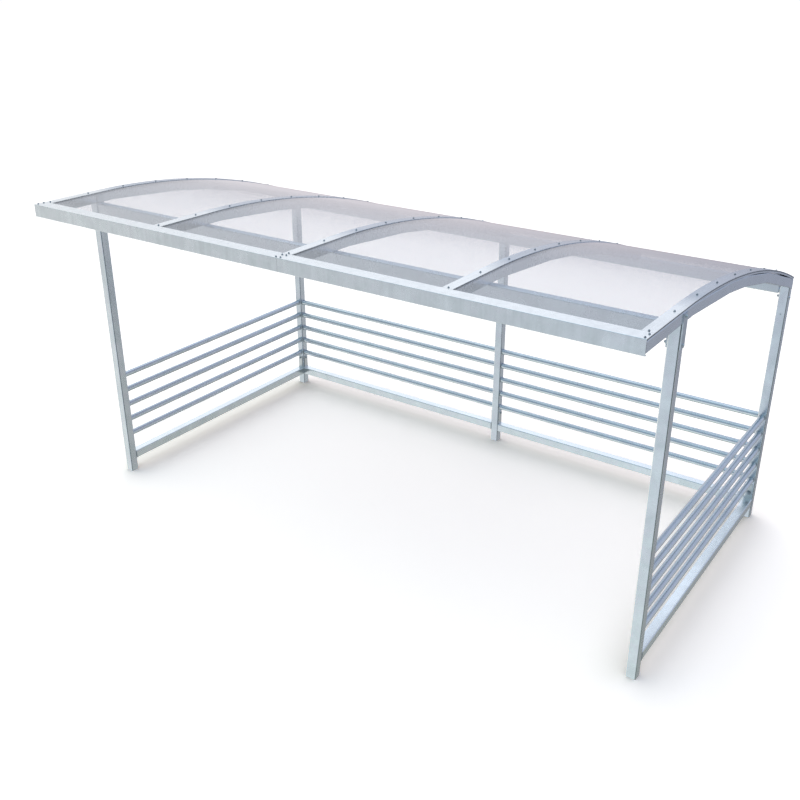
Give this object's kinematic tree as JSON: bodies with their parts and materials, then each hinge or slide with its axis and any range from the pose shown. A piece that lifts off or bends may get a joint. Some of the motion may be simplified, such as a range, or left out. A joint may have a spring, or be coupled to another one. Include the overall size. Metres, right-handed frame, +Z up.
{
  "type": "bike shelter",
  "caption": "Open bike shelter: square posts, curved roof of clear sheets on arched ribs, folded front fascia, and low rail fences on both sides and the back.",
  "frame": {"origin": "on the ground, at the middle of the plan's bounding box", "axes": "+X along the length, to the right seen from the open front; +Y from the open front to the back; +Z up"},
  "size_m": [4.112, 2.514, 2.1225],
  "materials": {
    "galvanised_steel": "hot-dip galvanised, soft spangle, matt to satin",
    "fascia": "folded galvanised sheet, satin",
    "cover_strip": "pressed galvanised strip, satin",
    "fixings": "zinc-plated, satin",
    "bearing_strip": "flat galvanised bar, satin",
    "clear_sheet": "clear plastic sheet, faint grey tint, glossy"
  },
  "bodies": {
    "root": {"base_rail_back_left": "galvanised_steel", "base_rail_back_right": "galvanised_steel", "base_rail_left": "galvanised_steel", "base_rail_right": "galvanised_steel", "bearing_strip_1": "bearing_strip", "bearing_strip_2": "bearing_strip", "bearing_strip_3": "bearing_strip", "bearing_strip_4": "bearing_strip", "bearing_strip_5": "bearing_strip", "cover_strip_1": "cover_strip", "cover_strip_2": "cover_strip", "cover_strip_3": "cover_strip", "cover_strip_4": "cover_strip", "cover_strip_5": "cover_strip", "fascia_left": "fascia", "fascia_right": "fascia", "front_purlin": "galvanised_steel", "head_plates_left": "fixings", "head_plates_right": "fixings", "post_back_centre": "galvanised_steel", "post_back_left": "galvanised_steel", "post_back_right": "galvanised_steel", "post_front_left": "galvanised_steel", "post_front_right": "galvanised_steel", "rail_lugs_back_left": "fixings", "rail_lugs_back_right": "fixings", "rail_lugs_left": "fixings", "rail_lugs_right": "fixings", "rails_back_left": "galvanised_steel", "rails_back_right": "galvanised_steel", "rails_left": "galvanised_steel", "rails_right": "galvanised_steel", "rear_purlin": "galvanised_steel", "roof_rib_1": "galvanised_steel", "roof_rib_2": "galvanised_steel", "roof_rib_3": "galvanised_steel", "roof_rib_4": "galvanised_steel", "roof_rib_5": "galvanised_steel", "roof_sheet_1": "clear_sheet", "roof_sheet_2": "clear_sheet", "roof_sheet_3": "clear_sheet", "roof_sheet_4": "clear_sheet"}
  },
  "joints": []
}
